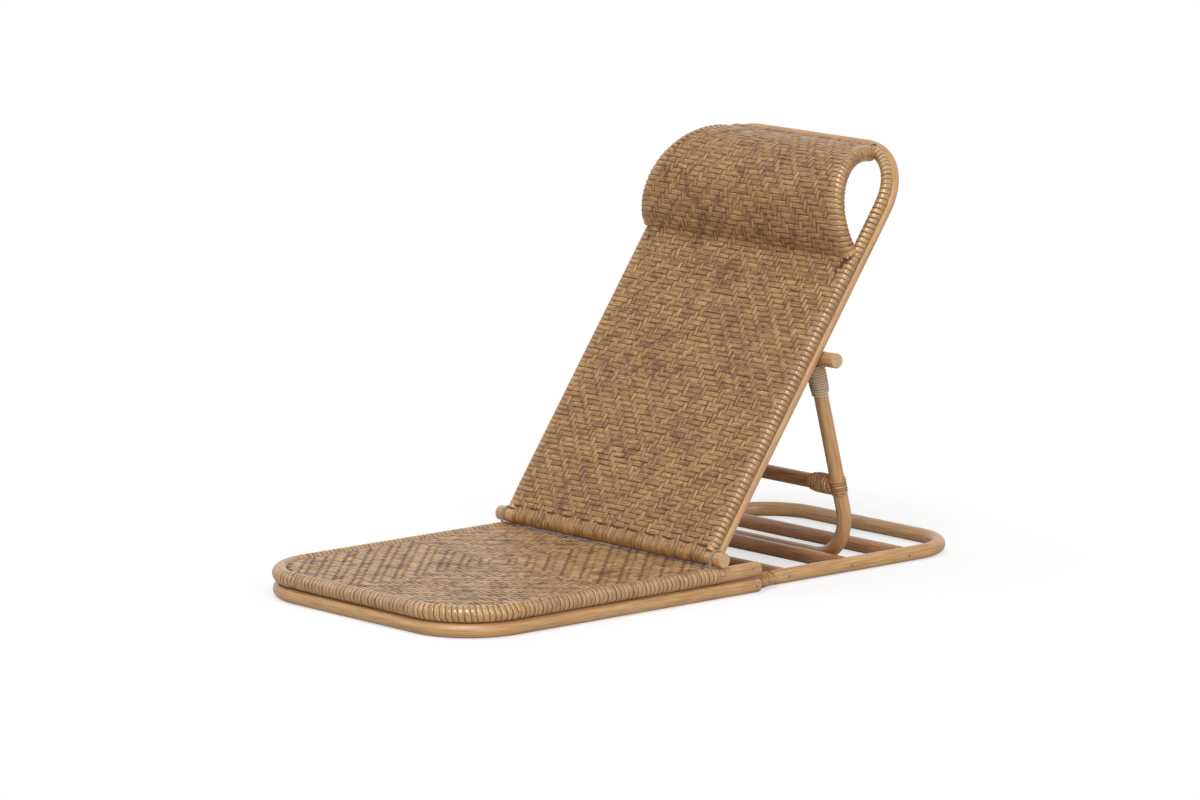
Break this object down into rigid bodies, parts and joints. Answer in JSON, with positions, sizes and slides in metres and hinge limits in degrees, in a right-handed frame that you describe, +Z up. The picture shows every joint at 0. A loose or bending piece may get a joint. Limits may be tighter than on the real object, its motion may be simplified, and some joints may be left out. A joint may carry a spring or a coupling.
{
  "type": "sun lounger",
  "caption": "Low folding sun lounger of bent rattan poles with a woven cane seat, reclined back and headrest roll, held up by a hinged prop on a rear rack.",
  "frame": {"origin": "centre of the footprint, on the floor", "axes": "+Z up, +X across the seat, -Y towards the front of the seat"},
  "size_m": [0.565, 1.1596, 0.7048],
  "materials": {
    "rattan_pole": "satin honey rattan with fine lengthwise grain",
    "dark_rattan": "satin brown rattan with a lighter top edge",
    "prop_rattan": "satin rattan, slightly greyer than the frame",
    "woven_cane": "glossy split cane in a diamond twill weave",
    "edge_cane": "glossy split cane wound side by side",
    "binding_cane": "satin split cane, wound tight",
    "lashing_cord": "matt twisted cord, grey-green",
    "nail_steel": "dull small nail heads"
  },
  "bodies": {
    "base": {"seat_frame_pole": "rattan_pole", "floor_frame_pole": "rattan_pole", "seat_rear_bar": "rattan_pole", "seat_mat": "woven_cane", "rear_loop": "rattan_pole", "slat_front": "dark_rattan", "slat_middle": "dark_rattan", "slat_rear": "dark_rattan", "slat_nails": "nail_steel", "frame_nails": "nail_steel", "loop_binding_left": "binding_cane", "loop_binding_right": "binding_cane", "hinge_tie_left": "lashing_cord", "hinge_tie_right": "lashing_cord"},
    "backrest": {"hinge_bar": "rattan_pole", "mat_frame": "rattan_pole", "slim_frame": "rattan_pole", "cheek_left": "rattan_pole", "cheek_right": "rattan_pole", "back_mat": "woven_cane", "head_mat": "woven_cane", "frame_wrap_left": "edge_cane", "frame_wrap_right": "edge_cane", "upper_bar": "rattan_pole", "bar_nails": "nail_steel", "hinge_nails": "nail_steel"},
    "prop": {"prop_frame": "prop_rattan", "prop_crossbar": "dark_rattan", "leg_lashing_left": "lashing_cord", "leg_lashing_right": "lashing_cord", "leg_cane_left": "binding_cane", "leg_cane_right": "binding_cane", "bar_cane_left": "binding_cane", "bar_cane_right": "binding_cane"}
  },
  "joints": [
    {"name": "backrest_hinge", "type": "hinge", "parent": "base", "child": "backrest", "pos_m": [0, -0.01715, 0.0654], "axis": [1, 0, 0], "range_deg": [0, 106]},
    {"name": "prop_swing", "type": "hinge", "parent": "backrest", "child": "prop", "pos_m": [0, 0.23422, 0.36842], "axis": [1, 0, 0], "range_deg": [0, 131]}
  ]
}
